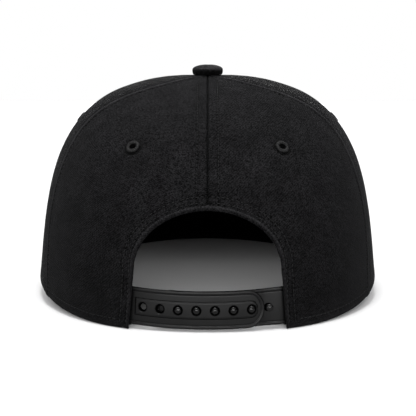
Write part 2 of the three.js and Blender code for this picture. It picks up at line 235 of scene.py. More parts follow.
def build(name, parts, materials, replaces=(), sharp=48):
    """An object from parts, each with points, faces and, where it has them, uv, wear and painted light, and the
    faces' materials.
    """
    points, faces, uvs, wear_and_light_values, picks, offset = [], [], [], [], [], 0
    for part in parts:
        count = len(part["points"])
        points.append(part["points"])
        faces += [[corner + offset for corner in face] for face in part["faces"]]
        uvs.append(part.get("uv", np.zeros((count, 2))))
        wear_and_light_values.append(part.get("wear_and_painted_light", np.zeros(count)))
        picks += list(part.get("picks", [0] * len(part["faces"])))
        offset += count
    points, uvs, wear_and_light_values = np.concatenate(points), np.concatenate(uvs), np.concatenate(wear_and_light_values)
    used = np.unique(np.concatenate([np.asarray(face) for face in faces]))
    renumber = np.full(len(points), -1)
    renumber[used] = np.arange(len(used))
    faces = [[int(renumber[corner]) for corner in face] for face in faces]
    points, uvs, wear_and_light_values = points[used], uvs[used], wear_and_light_values[used]
    mesh = bpy.data.meshes.new(name)
    mesh.from_pydata(((points + [0, SHIFT, 0]) / 1000).tolist(), [], faces)
    corners = np.zeros(len(mesh.loops), int)
    mesh.loops.foreach_get("vertex_index", corners)
    mesh.uv_layers.new(name="cloth").data.foreach_set("uv", uvs[corners].astype(np.float32).ravel())
    mesh.attributes.new("wear_and_painted_light", "FLOAT", "POINT").data.foreach_set("value", wear_and_light_values.astype(np.float32))
    for material in materials:
        mesh.materials.append(material)
    mesh.polygons.foreach_set("material_index", np.asarray(picks, np.int32))
    mesh.polygons.foreach_set("use_smooth", np.ones(len(faces), bool))
    mesh.set_sharp_from_angle(angle=math.radians(sharp))
    mesh.update()
    piece = bpy.data.objects.new(name, mesh)
    bpy.context.scene.collection.objects.link(piece)
    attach(piece, "root")
    if replaces:
        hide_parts(*replaces)
    return piece


def mirrored(part, sign):
    """The part itself, or its mirror image across the middle of the cap for a negative sign."""
    if sign > 0:
        return part
    image = dict(part)
    image["points"] = part["points"] * [-1, 1, 1]
    image["faces"] = [list(face)[::-1] for face in part["faces"]]
    if "uv" in part:
        image["uv"] = part["uv"] * [-1, 1]
    return image


def thread_rows(line, normals, pitch=STITCH_PITCH, length=STITCH_LENGTH, width=STITCH_WIDTH, proud=0.1):
    """Stitches along a line of points, each a short thread that rises from the cloth and dives back."""
    steps = np.linalg.norm(np.diff(line, axis=0), axis=1)
    run = np.concatenate([[0], np.cumsum(steps)])
    count = int((run[-1] - length) / pitch)
    if count < 1:
        return []
    stations = np.array([0, 0.14, 0.5, 0.86, 1])
    lift = np.array([-0.26, 0.02, proud, 0.02, -0.26])
    thick = np.array([0.45, 0.9, 1, 0.9, 0.45]) * width / 2
    starts = np.arange(count) * pitch + (run[-1] - (count - 1) * pitch - length) / 2
    spots = starts[:, None] + stations[None] * length
    centre = np.stack([np.interp(spots, run, line[:, axis]) for axis in range(3)], -1)
    out = np.stack([np.interp(spots, run, normals[:, axis]) for axis in range(3)], -1)
    out /= np.linalg.norm(out, axis=-1, keepdims=True)
    ahead = np.gradient(centre, axis=1)
    side = np.cross(ahead, out)
    side /= np.linalg.norm(side, axis=-1, keepdims=True)
    sway = rng.uniform(-0.06, 0.06, (count, 1, 1)) * np.array([-1, -0.7, 0, 0.7, 1])[None, :, None]
    centre = centre + side * sway
    turns = np.arange(6) * math.pi / 3
    cosines, sines = np.cos(turns)[:, None], np.sin(turns)[:, None]
    ring = side[:, :, None] * cosines + out[:, :, None] * sines
    points = centre[:, :, None] + ring * thick[None, :, None, None] + (out * lift[None, :, None])[:, :, None]
    one = face_grid(5, 6, wrap_columns=True)[:, ::-1]
    faces = []
    for number in range(count):
        base = number * 30
        faces += (one + base).tolist()
        faces.append([base + corner for corner in range(6)])
        faces.append([base + 24 + corner for corner in range(5, -1, -1)])
    return [{"points": points.reshape(-1, 3), "faces": faces}]


# Materials


def paint(name):
    material = bpy.data.materials.new(name)
    material.use_nodes = True
    tree = material.node_tree
    return material, tree, tree.nodes["Principled BSDF"]


def node(tree, kind, **inputs):
    made = tree.nodes.new(kind)
    for key, value in inputs.items():
        if hasattr(made, key):
            setattr(made, key, value)
            continue
        socket = made.inputs[int(key[1:])] if key[0] == "i" and key[1:].isdigit() else made.inputs[key]
        if isinstance(value, bpy.types.NodeSocket):
            tree.links.new(value, socket)
        else:
            socket.default_value = value
    return made


def blend_colours(tree, factor, one, two):
    made = node(tree, "ShaderNodeMix", data_type="RGBA")
    tree.links.new(factor, made.inputs[0])
    made.inputs[6].default_value = (*one, 1)
    made.inputs[7].default_value = (*two, 1)
    return made.outputs[2]


def map_range(tree, value, from_low, from_high, to_low, to_high):
    return node(tree, "ShaderNodeMapRange", i0=value, i1=from_low, i2=from_high, i3=to_low, i4=to_high).outputs[0]


def multiply_add(tree, value, factor, added):
    return node(tree, "ShaderNodeMath", operation="MULTIPLY_ADD", i0=value, i1=factor, i2=added).outputs[0]


def roughen(tree, shader, height, strength, depth):
    """Bumps from a height, with a depth in millimetres."""
    bump = node(tree, "ShaderNodeBump", i0=strength, i1=depth / 1000)
    tree.links.new(height, bump.inputs["Height"])
    tree.links.new(bump.outputs[0], shader.inputs["Normal"])


def cloth(name, dark, light, rib, turn, depth, sheen, painted_top_light=(0.16, 0.8, 1.0, 1.65)):
    """Woven black cloth: diagonal ribs a rib's width apart, broken by yarns, with uneven dye, fluff and wear.

    Wear and painted light share one attribute: it paints highlights on the seam ridges and the opening's lip and,
    where it is negative, paints shade in the seam grooves and stitch channels. Painted top light makes what faces up
    lighter.
    """
    material, tree, shader = paint(name)
    uv = node(tree, "ShaderNodeUVMap", uv_map="cloth").outputs[0]
    turned = node(tree, "ShaderNodeMapping", i0=uv, i2=(0, 0, math.radians(turn))).outputs[0]
    crossed = node(tree, "ShaderNodeMapping", i0=uv, i2=(0, 0, math.radians(turn - 72))).outputs[0]
    spacing = 2 * math.pi / 20
    ribs = node(tree, "ShaderNodeTexWave", i0=turned, i1=spacing / rib, i2=1.5, i3=2.0, i4=0.8).outputs[1]
    yarns = node(tree, "ShaderNodeTexWave", i0=crossed, i1=spacing / (0.62 * rib), i2=1.5, i3=2.0, i4=1.0).outputs[1]
    woven = multiply_add(tree, yarns, 0.45, ribs)
    place = node(tree, "ShaderNodeTexCoord").outputs["Object"]
    dye = node(tree, "ShaderNodeTexNoise", i0=place, i2=110.0, i3=3.0, i4=0.6).outputs[0]
    lint = node(tree, "ShaderNodeTexNoise", i0=place, i2=640.0, i3=0.0).outputs[0]
    fibres = node(tree, "ShaderNodeTexNoise", i0=place, i2=1500.0, i3=0.6, i4=0.8).outputs[0]
    fluff = node(tree, "ShaderNodeMix", i0=0.82, i2=lint, i3=fibres).outputs[0]
    patches = map_range(tree, dye, 0.25, 0.75, 0.15, 0.6)
    total = node(tree, "ShaderNodeClamp", i0=multiply_add(tree, woven, 0.24, patches)).outputs[0]
    colour = blend_colours(tree, total, dark, light)
    facing = node(tree, "ShaderNodeNewGeometry").outputs["Normal"]
    upward = node(tree, "ShaderNodeSeparateXYZ", i0=facing).outputs[2]
    top_light_gain = map_range(tree, upward, *painted_top_light)
    grain = map_range(tree, fluff, 0.35, 0.65, 0.2, 1.8)
    wear_and_painted_light = node(tree, "ShaderNodeAttribute", attribute_name="wear_and_painted_light").outputs[2]
    grain_wear_and_light = node(tree, "ShaderNodeMath", operation="ADD", i0=wear_and_painted_light, i1=grain).outputs[0]
    gain = node(tree, "ShaderNodeMath", operation="MULTIPLY", i0=grain_wear_and_light, i1=top_light_gain).outputs[0]
    safe = node(tree, "ShaderNodeMath", operation="MAXIMUM", i0=gain, i1=0.04).outputs[0]
    painted_colour = node(tree, "ShaderNodeVectorMath", operation="SCALE", i0=colour, i3=safe).outputs[0]
    tree.links.new(painted_colour, shader.inputs["Base Color"])
    tree.links.new(map_range(tree, fluff, 0.3, 0.7, 0.82, 0.96), shader.inputs["Roughness"])
    roughen(tree, shader, multiply_add(tree, fluff, 2.6, woven), 0.8, depth)
    shader.inputs["Specular IOR Level"].default_value = 0.015
    shader.inputs["Sheen Weight"].default_value = sheen
    shader.inputs["Sheen Roughness"].default_value = 0.42
    shader.inputs["Sheen Tint"].default_value = (0.95, 0.96, 1.0, 1)
    return material


def thread(name, dark, light, shine):
    """Twisted thread with a soft shine."""
    material, tree, shader = paint(name)
    place = node(tree, "ShaderNodeTexCoord").outputs["Object"]
    strands = node(tree, "ShaderNodeTexNoise", i0=place, i2=2600.0, i3=2.0, i4=0.6).outputs[0]
    tree.links.new(blend_colours(tree, strands, dark, light), shader.inputs["Base Color"])
    tree.links.new(map_range(tree, strands, 0.3, 0.7, 0.45, 0.65), shader.inputs["Roughness"])
    roughen(tree, shader, strands, 0.5, 0.08)
    shader.inputs["Specular IOR Level"].default_value = shine
    shader.inputs["Sheen Weight"].default_value = 0.006
    return material


def soft_plastic(name, dark, light, shine, rough):
    """Moulded black plastic with a fine grain, handling marks and an uneven shine."""
    material, tree, shader = paint(name)
    place = node(tree, "ShaderNodeTexCoord").outputs["Object"]
    patches = node(tree, "ShaderNodeTexNoise", i0=place, i2=120.0, i3=4.0, i4=0.6).outputs[0]
    grain = node(tree, "ShaderNodeTexNoise", i0=place, i2=3200.0, i3=1.0, i4=0.5).outputs[0]
    tree.links.new(blend_colours(tree, patches, dark, light), shader.inputs["Base Color"])
    tree.links.new(map_range(tree, patches, 0.3, 0.7, rough - 0.06, rough + 0.06), shader.inputs["Roughness"])
    roughen(tree, shader, multiply_add(tree, patches, 0.6, grain), 0.3, 0.03)
    shader.inputs["Specular IOR Level"].default_value = shine
    return material


DARK_TWILL, LIGHT_TWILL = (0.0002, 0.0002, 0.00022), (0.0047, 0.0046, 0.0049)
# The crown's and peak's cloth is painted lighter where it faces up: painted top light.
crown_cloth = cloth("crown_twill", DARK_TWILL, LIGHT_TWILL, 0.95, 52, 0.2, 0.0112)
# Painted light: the button's cloth is painted much lighter where it faces up and darker where it faces down.
button_cloth = cloth(
    "button_twill", DARK_TWILL, (0.0054, 0.0053, 0.0056), 0.8, 52, 0.2, 0.01, painted_top_light=(-0.15, 0.6, 0.3, 4.8)
)
peak_cloth = cloth("peak_twill", DARK_TWILL, LIGHT_TWILL, 0.95, 52, 0.2, 0.0112)
band_cloth = cloth(
    "sweatband_tape", (0.0003, 0.0003, 0.00032), (0.0024, 0.0024, 0.0025), 0.7, 8, 0.1, 0.003,
    painted_top_light=(0.2, 0.8, 1.0, 1.0),
)
stitch_thread = thread("stitch_thread", (0.001, 0.001, 0.00105), (0.009, 0.009, 0.0094), 0.06)
eyelet_thread = thread("eyelet_thread", (0.0003, 0.0003, 0.00032), (0.0046, 0.0046, 0.0048), 0.14)
# Painted shade: a darker copy of the eyelet thread for the rings' rims and throats.
painted_shade_thread = thread("painted_shade_thread", (0.0001, 0.0001, 0.0001), (0.0012, 0.0012, 0.0013), 0.03)
strap_plastic = soft_plastic("strap_plastic", (0.0007, 0.0007, 0.00074), (0.0018, 0.0018, 0.0019), 0.115, 0.4)
stud_plastic = soft_plastic("stud_plastic", (0.0006, 0.0006, 0.00063), (0.0012, 0.0012, 0.0013), 0.16, 0.23)
# Painted shade: near-black plastic without any shine for the hole walls, cut edges, moulded lines and stud collars.
painted_shade_plastic = soft_plastic("painted_shade_plastic", (0.0002, 0.0002, 0.00021), (0.0004, 0.0004, 0.00042), 0.0, 0.9)

# Panels

SEAMS = {
    "back": (lambda place: np.zeros_like(place), lambda place: row_value("back_seam", place)),
    "side": (lambda place: row_value("back_seam", place), lambda place: row_value("front_seam", place)),
    "front": (lambda place: row_value("front_seam", place), lambda place: np.full_like(place, 180.0)),
}
PADDING = {"back": (0.04, 0.4), "side": (0.1, 0.18), "front": (0.18, 0.1)}
GROOVES = {"back": (0.95, 0.15), "side": (0.15, 0.6), "front": (0.6, 0.8)}
PULLED = {"back": (1.0, 0.35), "side": (0.35, 0.7), "front": (0.7, 1.0)}
EDGE_COLUMNS = np.array([0, 0.14, 0.32, 0.56, 0.9, 1.5, 2.4, 3.4, 4.2, 4.6, 4.85, 5.1, 5.4, 5.9, 6.8])
HEM_ROWS = np.array([0, 0.2, 0.5, 0.9, 1.5, 2.3, 3.1, 3.6, 3.85, 4.1, 4.35, 4.8, 5.6])
# Distances of the stitch rows from the opening's edge, at its foot and at its top
ARCH_STITCH_ROWS = [(1.7, 3.5), (4.6, 6.1)]
ROW_SPACING = 1.1
MIDDLE_COLUMNS = 62


def arch_distance(x, z):
    """Distance from the opening's edge, positive in the cloth."""
    straight = np.abs(x) - mix(ARCH_FOOT, ARCH_SPRING, z / ARCH_SPRING_HEIGHT)
    over = z - ARCH_SPRING_HEIGHT
    share = np.hypot(x / ARCH_SPRING, over / ARCH_RISE)
    curved = np.hypot(x, over) * (1 - 1 / np.maximum(share, 1e-6))
    return np.where(z < ARCH_SPRING_HEIGHT, straight, curved)


def relief(edges, climb, across, scale):
    """Height of the cloth over the plain crown: seam grooves, padding under the seams, pulled stitch rows.

    Edges holds, for both seams of a panel, the distance from the seam, then the padding, groove and pull.
    """
    height = np.zeros_like(climb)
    for gap, pad, groove, pulling in edges:
        height -= groove * bell(gap, 0, 0.42)
        height += pad * smooth(gap, 0.4, 1.6) * (1 - smooth(gap, SEAM_ROW - 1.3, SEAM_ROW + 0.4))
        height -= 0.26 * pulling * bell(gap, SEAM_ROW * scale, 0.42) * scale
        pull = np.sin(2 * math.pi * climb / 9.1) + 0.7 * np.sin(2 * math.pi * climb / 5.3 + 1.2)
        height += 0.035 * pull * bell(gap, SEAM_ROW + 1.5, 3.2)
    height -= 0.2 * bell(climb, HEM_ROW, 0.5)
    height += 0.15 * bell(climb, HEM_ROW / 2, 1.2)
    height -= 0.55 * bell(climb, 0, 0.5)
    still = smooth(np.minimum(edges[0][0], edges[1][0]), 3, 16) * smooth(climb, 4, 14)
    waves = np.sin(across / 9.5 + climb / 23) + np.sin(climb / 12.5 - across / 17 + 1.7)
    waves += 0.8 * np.sin(across / 6.1 - climb / 10.3 + 0.4)
    return height + 0.14 * waves * still


def panel_grid(kind):
    """Places, angles and distances in the cloth of a panel's grid on the right side."""
    low_of, high_of = SEAMS[kind]
    fine = np.linspace(0, 1, 700)
    middle = np.radians((low_of(fine) + high_of(fine)) / 2)
    climb = np.linalg.norm(np.diff(crown_point(fine, middle), axis=0), axis=1)
    run = np.concatenate([[0], np.cumsum(climb)])
    count = int((run[-1] - HEM_ROWS[-1]) / ROW_SPACING)
    rows = np.concatenate([HEM_ROWS, np.linspace(HEM_ROWS[-1], run[-1], count)[1:]])
    places = np.interp(rows, run, fine)
    low, high = np.radians(low_of(places)), np.radians(high_of(places))
    shares = np.linspace(0, 1, 81)
    angles = mix(low[:, None], high[:, None], shares[None])
    points = crown_point(places[:, None], angles)
    steps = np.linalg.norm(np.diff(points, axis=1), axis=2)
    across = np.concatenate([np.zeros((len(rows), 1)), np.cumsum(steps, axis=1)], axis=1)
    width = across[:, -1]
    scale = np.minimum(1, width / 2 / 9.0)
    edge = EDGE_COLUMNS[None] * scale[:, None]
    inside = mix(edge[:, -1:], width[:, None] - edge[:, -1:], np.linspace(0, 1, MIDDLE_COLUMNS)[None])
    offsets = np.concatenate([edge, inside[:, 1:-1], width[:, None] - edge[:, ::-1]], axis=1)
    grid = np.stack([np.interp(offsets[row], across[row], angles[row]) for row in range(len(rows))])
    return places[:, None] + 0 * grid, grid, offsets, width[:, None] - offsets, rows[:, None] + 0 * grid, scale


def panel(kind, sign):
    place, angle, low_gap, high_gap, climb, scale = panel_grid(kind)
    across = low_gap - high_gap
    edges = list(zip((low_gap, high_gap), PADDING[kind], GROOVES[kind], PULLED[kind]))
    height = relief(edges, climb, across / 2, scale[:, None])
    spot_angle, spot_rise = EYELETS[kind]
    centre = crown_point(place_of_rise(spot_rise), math.radians(spot_angle))
    height -= 0.75 * bell(np.linalg.norm(crown_point(place, angle) - centre, axis=-1), EYELET_RADIUS, 0.55)
    if kind == "back":
        at = crown_point(place, angle)
        edge = arch_distance(at[..., 0], at[..., 2])
        along_arch = arch_share(at[..., 2])
        inner_row, outer_row = (mix(*row, along_arch) for row in ARCH_STITCH_ROWS)
        height -= 0.3 * bell(edge, outer_row, 0.42) + 0.24 * bell(edge, inner_row, 0.4)
    outer = crown_at(place, angle, height)
    inset = -WALL + 0.6 * height * smooth(climb, 1, 4) + 0.35 * bell(climb, 0, 0.5)
    inner = crown_at(place, angle, inset)
    middle = (outer[1:, 1:] + outer[:-1, :-1]) / 2
    keep = np.linalg.norm(middle - centre, axis=-1) > EYELET_BARREL
    if kind == "back":
        within = (inner[1:, 1:] + inner[:-1, :-1]) / 2
        keep &= arch_distance(middle[..., 0], middle[..., 2]) > 1.1
        keep &= arch_distance(within[..., 0], within[..., 2]) > 1.1
    points, faces = shell(outer, inner, keep)
    uv = np.stack([across / 2, climb], -1).reshape(-1, 2)
    wear_and_painted_light = 0.4 * bell(climb, 1.0, 0.9)
    # Painted highlight on the padded ridge beside each seam; painted shade in the seam's groove and in each stitch
    # row's channel.
    for gap, pad, groove, pulling in edges:
        wear_and_painted_light += 5.0 * (pad - 0.04) * bell(gap, 1.6, 1.3) - 1.9 * groove**3 * bell(gap, 0, 0.42)
        wear_and_painted_light -= 0.6 * pulling * bell(gap, SEAM_ROW * scale[:, None], 0.42)
    # Painted shade: the side panels are painted darker towards the top.
    if kind == "side":
        wear_and_painted_light -= 0.4 * smooth(place, 0.4, 0.75)
    if kind == "back":
        # Painted shade in the channels of the opening's stitch rows, and a painted highlight on the cloth between
        # them.
        wear_and_painted_light -= 0.65 * bell(edge, outer_row, 0.42) + 0.5 * bell(edge, inner_row, 0.42)
        wear_and_painted_light += 0.25 * bell(edge, mix(3.2, 4.8, along_arch), 0.7)
    wear_and_painted_light = wear_and_painted_light.reshape(-1)
    cloth_part = {
        "points": points, "faces": faces, "uv": np.concatenate([uv, uv]), "wear_and_painted_light": np.concatenate([wear_and_painted_light, wear_and_painted_light]),
    }
    parts = [mirrored(cloth_part, sign)]
    if kind == "back":
        parts.append(mirrored(arch_edge(), sign))
    side = "right" if sign > 0 else "left"
    name = f"{kind}_panel_{side}"
    build(f"cloth_{name}", parts, [crown_cloth], [name], sharp=75)


def arch_share(z):
    """From the opening's foot, 0, to its top, 1."""
    return smooth(z, 8, ARCH_SPRING_HEIGHT + ARCH_RISE - 6)


def arch_line(low=0.15, count=150):
    """Points and outward directions of the right half of the opening's edge, in its own plane, from foot to top."""
    splay = (ARCH_FOOT - ARCH_SPRING) / ARCH_SPRING_HEIGHT
    heights = np.linspace(low, ARCH_SPRING_HEIGHT, count // 3, endpoint=False)
    turns = np.linspace(0, math.pi / 2, count - len(heights))
    x = np.concatenate([ARCH_FOOT - splay * heights, ARCH_SPRING * np.cos(turns)])
    z = np.concatenate([heights, ARCH_SPRING_HEIGHT + ARCH_RISE * np.sin(turns)])
    out = np.concatenate([
        np.tile([1, splay], (len(heights), 1)),
        np.stack([np.cos(turns) / ARCH_SPRING, np.sin(turns) / ARCH_RISE], -1),
    ])
    return x, z, out / np.linalg.norm(out, axis=1, keepdims=True)


def arch_edge():
    """The turned edge round the opening: a rolled lip over the wall's cut edge."""
    x, z, out = arch_line()
    share = arch_share(z)
    width = mix(1.7, 2.5, share)
    turns = np.linspace(0, 2 * math.pi, 29)[:-1]
    thick = WALL / 2 + 0.2
    roll = np.sign(np.cos(turns)) * np.abs(np.cos(turns)) ** 0.8
    bulge = np.sign(np.sin(turns)) * np.abs(np.sin(turns)) ** 0.75
    gap = width[:, None] / 2 * (1 + roll[None]) + 0.02
    height = -WALL / 2 + thick * bulge[None] + 0.12 * bell(gap, width[:, None] * 0.62, 0.6) * (bulge[None] > 0)
    flat_x = x[:, None] + out[:, :1] * gap
    flat_z = z[:, None] + out[:, 1:] * gap
    place, angle = at_back(flat_x, np.maximum(flat_z, 0))
    normal = crown_normal(place, angle)
    points = crown_point(place, angle)
    points[..., 1] += height / normal[..., 1]
    rows, columns = points.shape[:2]
    faces = face_grid(rows, columns, wrap_columns=True).tolist()
    faces.append(list(range(columns))[::-1])
    faces.append([(rows - 1) * columns + column for column in range(columns)])
    run = np.concatenate([[0], np.cumsum(np.hypot(np.diff(x), np.diff(z)))])
    uv = np.stack([run[:, None] + 0 * gap, gap + 2 * height], -1).reshape(-1, 2)
    # Painted highlight along the shoulder of the lip.
    wear_and_painted_light = 0.1 + 0.9 * bell(gap, width[:, None] * 0.8, 0.5)
    return {"points": points.reshape(-1, 3), "faces": faces, "uv": uv, "wear_and_painted_light": wear_and_painted_light.reshape(-1)}


for panel_kind in SEAMS:
    for hand in (1, -1):
        panel(panel_kind, hand)

# Stitch rows


def on_crown(place, angle, extra=0.0):
    """A line over the crown with its normals, just above the cloth."""
    return crown_at(place, angle, extra + 0 * np.asarray(angle)), crown_normal(place, angle)


def seam_rows(kind, low_side):
    """The row beside one seam of a panel."""
    place, angle, low_gap, high_gap, climb, scale = panel_grid(kind)
    gap, order = (low_gap, 1) if low_side else (high_gap, -1)
    places = place[:, 0]
    angles = np.array([
        np.interp(SEAM_ROW * scale[row], gap[row][::order], angle[row][::order]) for row in range(len(places))
    ])
    kept = (climb[:, 0] > 1.0) & (places < 0.985)
    if kind == "back" and low_side:
        at = crown_point(places, angles)
        kept &= arch_distance(at[:, 0], at[:, 2]) > 6.4
    return on_crown(places[kept], angles[kept], -0.12)


def hem_row(low, high):
    angles = np.radians(np.linspace(low, high, 400))
    return on_crown(place_of_height(angles, hem_height(angles) + HEM_ROW), angles, -0.12)


crown_threads = {"back": [], "side": [], "front": []}
for panel_kind in SEAMS:
    for low_side in (True, False):
        crown_threads[panel_kind] += thread_rows(*seam_rows(panel_kind, low_side))
arch_x, arch_z, arch_out = arch_line(0.5)
for row in ARCH_STITCH_ROWS:
    gap = mix(*row, arch_share(arch_z))
    place, angle = at_back(arch_x + arch_out[:, 0] * gap, arch_z + arch_out[:, 1] * gap)
    crown_threads["back"] += thread_rows(*on_crown(place, angle, -0.1))
foot = math.degrees(hem_angle(FOOT_LENGTH + 5.2))
crown_threads["back"] += thread_rows(*hem_row(foot, 60))
crown_threads["side"] += thread_rows(*hem_row(62, 118))
crown_threads["front"] += thread_rows(*hem_row(120, 179.5))
for panel_kind, parts in crown_threads.items():
    both = [mirrored(part, sign) for part in parts for sign in (1, -1)]
    build(f"stitches_{panel_kind}", both, [stitch_thread], sharp=80)

# Eyelets, satin-stitched rings

RING_RADIUS, RING_HOLE, RING_FLANGE, RING_THREADS = 3.4, 1.55, 4.35, 46


def turned_to(normal):
    """Two directions across a normal, the second as upright as it can be."""
    across = np.cross([0, 0, 1], normal)
    across /= np.linalg.norm(across)
    return across, np.cross(normal, across)


def eyelet(kind, sign):
    spot_angle, spot_rise = EYELETS[kind]
    place, angle = place_of_rise(spot_rise), math.radians(spot_angle)
    seat, normal = crown_point(place, angle), crown_normal(place, angle)
    across, upward = turned_to(normal)
    turns = np.linspace(0, 2 * math.pi, 241)[:-1]
    under = -WALL - 0.7
    rim = [
        (RING_HOLE, under), (EYELET_RADIUS - 0.7, under), (EYELET_RADIUS - 0.4, under + 0.5),
        (EYELET_BARREL + 0.3, -WALL + 0.1), (EYELET_BARREL + 0.3, -0.95), (RING_FLANGE, -0.95),
        (RING_FLANGE + 0.05, -0.35), (RING_FLANGE - 0.2, -0.22), (RING_RADIUS + 0.05, -0.42),
    ]
    dome = [
        (mix(RING_RADIUS, RING_HOLE, (1 - math.cos(step * math.pi)) / 2), 1.2 * math.sin(step * math.pi) ** 0.8)
        for step in np.linspace(0.03, 0.97, 17)
    ]
    rings = rim + dome + [(RING_HOLE, -0.5)]
    points = []
    for radius, height in rings:
        ridge = 0.14 * np.abs(np.sin(turns * RING_THREADS / 2)) if height > -0.5 else 0 * turns
        wander = 0.06 * np.sin(turns * 5 + 0.6) + 0.05 * np.sin(turns * 11 + 2)
        reach = radius + wander * (radius > RING_HOLE + 0.4)
        lift = height + ridge
        sideways, upwards = reach * np.cos(turns), reach * np.sin(turns)
        points.append(seat + normal * lift[:, None] + across * sideways[:, None] + upward * upwards[:, None])
    grid = np.stack(points)
    faces = face_grid(grid.shape[0], grid.shape[1], wrap_rows=True, wrap_columns=True)
    # Painted shade: the rim, flange and throat of each ring take the darker thread.
    picks = np.repeat([int(row < len(rim) or row > len(rings) - 5) for row in range(len(rings))], grid.shape[1])
    part = {"points": grid.reshape(-1, 3), "faces": faces.tolist(), "picks": picks.tolist()}
    side = "right" if sign > 0 else "left"
    materials = [eyelet_thread, painted_shade_thread]
    build(f"ring_{kind}_{side}", [mirrored(part, sign)], materials, [f"eyelet_{kind}_{side}"])


for panel_kind in SEAMS:
    for hand in (1, -1):
        eyelet(panel_kind, hand)

# Button with its cover gathered underneath


def covered_button():
    plate_top = -WALL - BUTTON_PLATE_DROP
    plate_bottom = plate_top - BUTTON_PLATE_THICKNESS
    head = [
        (0.86, 0.0), (0.92, 0.04), (0.95, 0.1), (0.968, 0.18), (0.984, 0.27), (0.995, 0.36), (1.0, 0.47),
        (0.99, 0.58), (0.94, 0.68), (0.87, 0.765), (0.745, 0.85), (0.6, 0.915), (0.44, 0.965), (0.28, 0.99),
        (0.14, 0.98), (0.01, 0.97),
    ]
    rings = [
        (0.05, plate_bottom), (BUTTON_PLATE_RADIUS - 0.2, plate_bottom), (BUTTON_PLATE_RADIUS, plate_bottom + 0.2),
        (BUTTON_PLATE_RADIUS, plate_top), (STEM_RADIUS, plate_top), (STEM_RADIUS, SEAT_GAP),
    ]
    rings += [(share * BUTTON_RADIUS, SEAT_GAP + rise * (BUTTON_HEIGHT - SEAT_GAP)) for share, rise in head]
    turns = np.linspace(0, 2 * math.pi, 145)[:-1]
    points, run, uv = [], 0.0, []
    last = rings[-1]
    for radius, height in rings[::-1]:
        run += math.hypot(radius - last[0], height - last[1])
        last = (radius, height)
        low = max(0.0, 1 - (height - SEAT_GAP) / (0.45 * BUTTON_HEIGHT)) if height >= SEAT_GAP else 0.0
        pleats = 0.16 * np.sin(turns * 17 + 0.5 * np.sin(3 * turns)) + 0.07 * np.sin(turns * 29)
        gather = low * radius / BUTTON_RADIUS * pleats
        reach = radius + gather
        level = height + 0.06 * np.sin(3 * turns + 1) * (radius / BUTTON_RADIUS) * (height > 0.5)
        points.append(np.stack([
            reach * np.cos(turns), BUTTON_FORWARD + reach * np.sin(turns), HEIGHT + level,
        ], -1))
        uv.append(np.stack([run * np.cos(turns), run * np.sin(turns)], -1))
    grid = np.stack(points)
    rows, columns = grid.shape[:2]
    faces = face_grid(rows, columns, wrap_columns=True)[:, ::-1].tolist()
    faces.append(list(range(columns)))
    faces.append([(rows - 1) * columns + column for column in range(columns)][::-1])
    return {"points": grid.reshape(-1, 3), "faces": faces, "uv": np.stack(uv).reshape(-1, 2)}


build("covered_button", [covered_button()], [button_cloth], ["button"], sharp=60)

# Peak with its stitch rows

PEAK_ROWS = [4.5 + 6.4 * number for number in range(9)]


def peak_edge(share):
    """Points of the peak's edge, from the left end of the crown's front to the right one."""
    middle = FRONT_LENGTH - PEAK_WIDEST_BACK
    front_half = FRONT_LENGTH + PEAK_LENGTH - middle
    power = 2 / PEAK_SQUARENESS
    root_y = crown_point(0.0, PEAK_ROOT)[1]
    last = math.acos(-(((middle - root_y) / PEAK_REAR_HALF) ** (1 / power)))
    turn = np.asarray(share) * last
    half = np.where(np.cos(turn) > 0, front_half, PEAK_REAR_HALF)
    x = PEAK_HALF * np.sign(np.sin(turn)) * np.abs(np.sin(turn)) ** power
    y = middle + half * np.sign(np.cos(turn)) * np.abs(np.cos(turn)) ** power
    return np.stack([x, y], -1)


def peak_shell():
    shares = np.linspace(1, -1, 221)
    edge = peak_edge(shares)
    root_angle = math.pi - shares * (math.pi - PEAK_ROOT)
    root = crown_at(np.zeros_like(root_angle), root_angle, np.full_like(root_angle, -WALL))[:, :2]
    reach = np.linalg.norm(edge - root, axis=1)
    dense = np.array([0, 0.1, 0.3, 0.6, 0.95, 1.3, 1.8, 2.5])
    fit = np.minimum(1, reach / 8)
    inward = np.concatenate([
        dense[None] * fit[:, None],
        mix(2.5 * fit[:, None], reach[:, None], np.linspace(0, 1, 100)[None])[:, 1:],
    ], axis=1)[:, ::-1].T
    plan = edge[None] + (root - edge)[None] * (inward / reach[None])[..., None]
    outline = peak_edge(np.linspace(1, -1, 700))
    flat = plan.reshape(-1, 2)
    far = np.min([np.linalg.norm(flat - point, axis=1) for point in outline[::2]], axis=0).reshape(plan.shape[:2])
    ends = np.minimum(np.linalg.norm(plan - plan[:, :1], axis=-1), np.linalg.norm(plan - plan[:, -1:], axis=-1))
    gap = np.minimum(far, ends)
    half = PEAK_THICKNESS / 2
    round_off = half * (1 - np.sqrt(1 - (1 - np.clip(gap / half, 0, 1)) ** 2))
    channel = sum(0.13 * bell(far, row, 0.55) for row in PEAK_ROWS)
    swell = 0.1 * np.sin(far / 6.4 * 2 * math.pi + 1.8) * smooth(far, 2, 6) * 0.4
    base = peak_underside(plan[..., 0])
    top = np.concatenate([plan, (base + PEAK_THICKNESS - round_off - channel + swell)[..., None]], -1)
    bottom = np.concatenate([plan, (base + round_off + 0.6 * channel)[..., None]], -1)
    points, faces = shell(top, bottom)
    uv = plan.reshape(-1, 2)
    wear_and_painted_light = (0.7 * bell(far, 0, 1.2)).reshape(-1)
    return {
        "points": points, "faces": faces[:, ::-1] if faces_point_down(points, faces) else faces,
        "uv": np.concatenate([uv, uv + 0.37]), "wear_and_painted_light": np.concatenate([wear_and_painted_light, wear_and_painted_light]),
    }


def faces_point_down(points, faces):
    """Whether the body's faces point inwards."""
    a, b, c, d = (points[faces[:, corner]] for corner in range(4))
    volume = np.einsum("ij,ij->", a, np.cross(b, c)) + np.einsum("ij,ij->", a, np.cross(c, d))
    return volume < 0


